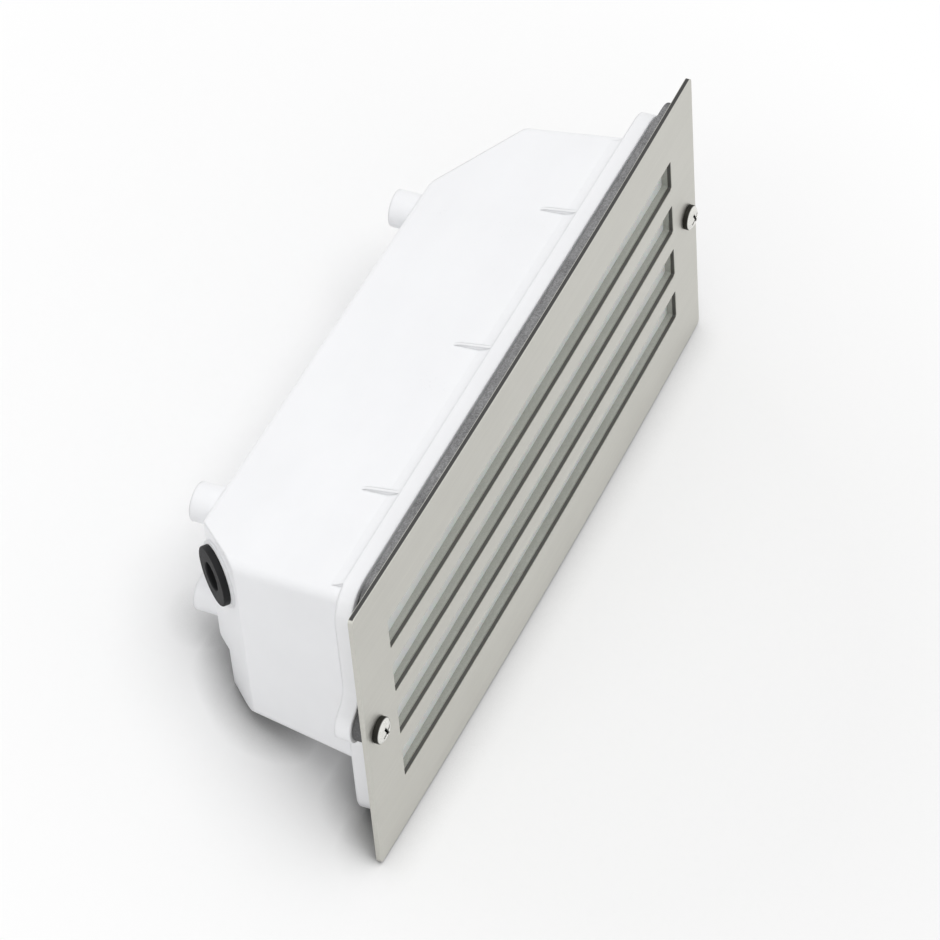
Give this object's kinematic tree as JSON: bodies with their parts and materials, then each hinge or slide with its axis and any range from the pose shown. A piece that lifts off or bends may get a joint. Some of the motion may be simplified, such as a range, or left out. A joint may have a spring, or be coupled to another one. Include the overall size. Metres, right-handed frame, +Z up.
{
  "type": "recessed step light",
  "caption": "Recessed wall or step light: slotted bowed steel front plate over an opal diffuser, on a white moulded housing with screw-cap lamp, reflector and terminals inside.",
  "frame": {"origin": "centre of the front plate's length and height, on the plane where the gasket meets the wall", "axes": "+X along the plate to the right as seen from the room, +Y into the wall, +Z up"},
  "size_m": [0.24, 0.0719, 0.101],
  "materials": {
    "plate_steel": "brushed along the length, satin",
    "gasket_foam": "matt closed-cell foam, mid grey",
    "opal_panel": "opal, satin",
    "retainer_plastic": "matt black",
    "screw_steel": "bright stainless",
    "housing_plastic": "moulded white, satin",
    "seal_rubber": "soft black",
    "insert_brass": "turned",
    "grommet_rubber": "black, slightly glossy",
    "reflector_sheet": "bright rolled sheet",
    "zinc_steel": "zinc plated",
    "holder_moulding": "black thermoset",
    "contact_brass": "stamped",
    "cap_nickel": "nickel plated",
    "insulator_glass": "black vitrite",
    "bulb_glass": "opal glass",
    "terminal_nylon": "natural nylon",
    "wire_brown": "brown insulation",
    "wire_blue": "blue insulation"
  },
  "bodies": {
    "housing": {"housing": "housing_plastic", "diffuser_seal": "seal_rubber", "threaded_inserts": "insert_brass", "cable_grommet": "grommet_rubber", "reflector": "reflector_sheet", "reflector_screws": "zinc_steel", "lampholder_bracket": "zinc_steel", "bracket_screws": "zinc_steel", "lampholder_nut": "zinc_steel", "lampholder_nipple": "zinc_steel", "lampholder_base": "holder_moulding", "lampholder_skirt": "holder_moulding", "lampholder_shell": "contact_brass", "lampholder_contacts": "contact_brass", "terminal_block": "terminal_nylon", "terminal_clamps": "contact_brass", "terminal_screws": "zinc_steel", "terminal_fixing_screw": "zinc_steel", "wire_live": "wire_brown", "wire_neutral": "wire_blue"},
    "cover": {"front_plate": "plate_steel", "plate_gasket": "gasket_foam", "diffuser": "opal_panel", "screw_retainers": "retainer_plastic"},
    "screw_left": {"cover_screw_left": "screw_steel"},
    "screw_right": {"cover_screw_right": "screw_steel"},
    "lamp": {"lamp_cap": "cap_nickel", "lamp_insulator": "insulator_glass", "lamp_eyelet": "contact_brass", "lamp_bulb": "bulb_glass"}
  },
  "joints": [
    {"name": "cover_lift", "type": "slide", "parent": "housing", "child": "cover", "axis": [0, -1, 0], "range_m": [0, 0.08]},
    {"name": "screw_left_turn", "type": "hinge", "parent": "cover", "child": "screw_left", "pos_m": [-0.113, 0, 0], "axis": [0, 1, 0], "continuous": true},
    {"name": "screw_right_turn", "type": "hinge", "parent": "cover", "child": "screw_right", "pos_m": [0.113, 0, 0], "axis": [0, 1, 0], "continuous": true},
    {"name": "lamp_turn", "type": "hinge", "parent": "housing", "child": "lamp", "pos_m": [0, 0.025, 0.012], "axis": [1, 0, 0], "continuous": true}
  ]
}
